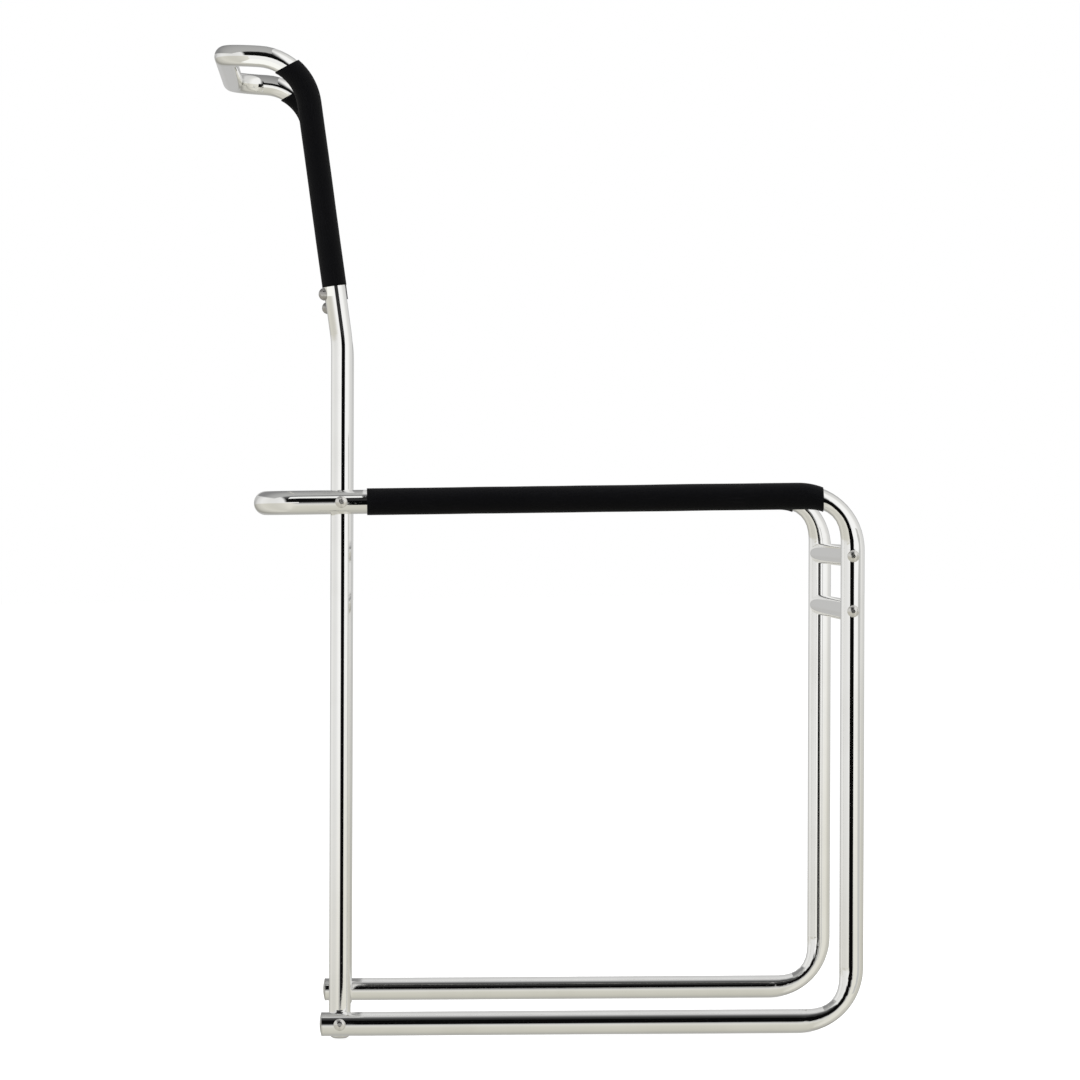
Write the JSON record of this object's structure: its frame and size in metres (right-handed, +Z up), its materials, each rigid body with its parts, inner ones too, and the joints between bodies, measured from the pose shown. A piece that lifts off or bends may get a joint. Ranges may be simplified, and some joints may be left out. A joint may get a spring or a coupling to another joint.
{
  "type": "cantilever chair",
  "caption": "Bent-tube steel side chair with sled runners, a woven cloth sling seat and a sling back under a rear head loop",
  "frame": {"origin": "on the floor under the middle of the chair", "axes": "+Z up, +X to the front of the seat, +Y to the sitter's left"},
  "size_m": [0.5376, 0.456, 0.8321],
  "materials": {
    "frame_tube": "polished chromium plate",
    "fastener": "polished plate",
    "plug_steel": "turned steel",
    "end_cap": "polished plate",
    "foot_cap": "polished plate, worn on the flat",
    "sling_cloth": "black woven yarn"
  },
  "bodies": {
    "root": {"base_seat_frame": "frame_tube", "back_frame": "frame_tube", "front_crossbar_upper": "frame_tube", "front_crossbar_lower": "frame_tube", "crossbar_plug_upper_left": "plug_steel", "crossbar_bolt_upper_left": "fastener", "crossbar_plug_upper_right": "plug_steel", "crossbar_bolt_upper_right": "fastener", "crossbar_plug_lower_left": "plug_steel", "crossbar_bolt_lower_left": "fastener", "crossbar_plug_lower_right": "plug_steel", "crossbar_bolt_lower_right": "fastener", "seat_rail_bolt_left": "fastener", "seat_rail_nut_left": "fastener", "seat_rail_bolt_right": "fastener", "seat_rail_nut_right": "fastener", "runner_bolt_left": "fastener", "runner_nut_left": "fastener", "runner_bolt_right": "fastener", "runner_nut_right": "fastener", "runner_end_cap_left": "end_cap", "foot_cap_left": "foot_cap", "sling_stop_screw_left": "fastener", "runner_end_cap_right": "end_cap", "foot_cap_right": "foot_cap", "sling_stop_screw_right": "fastener", "seat_sling": "sling_cloth", "back_sling": "sling_cloth"}
  },
  "joints": []
}
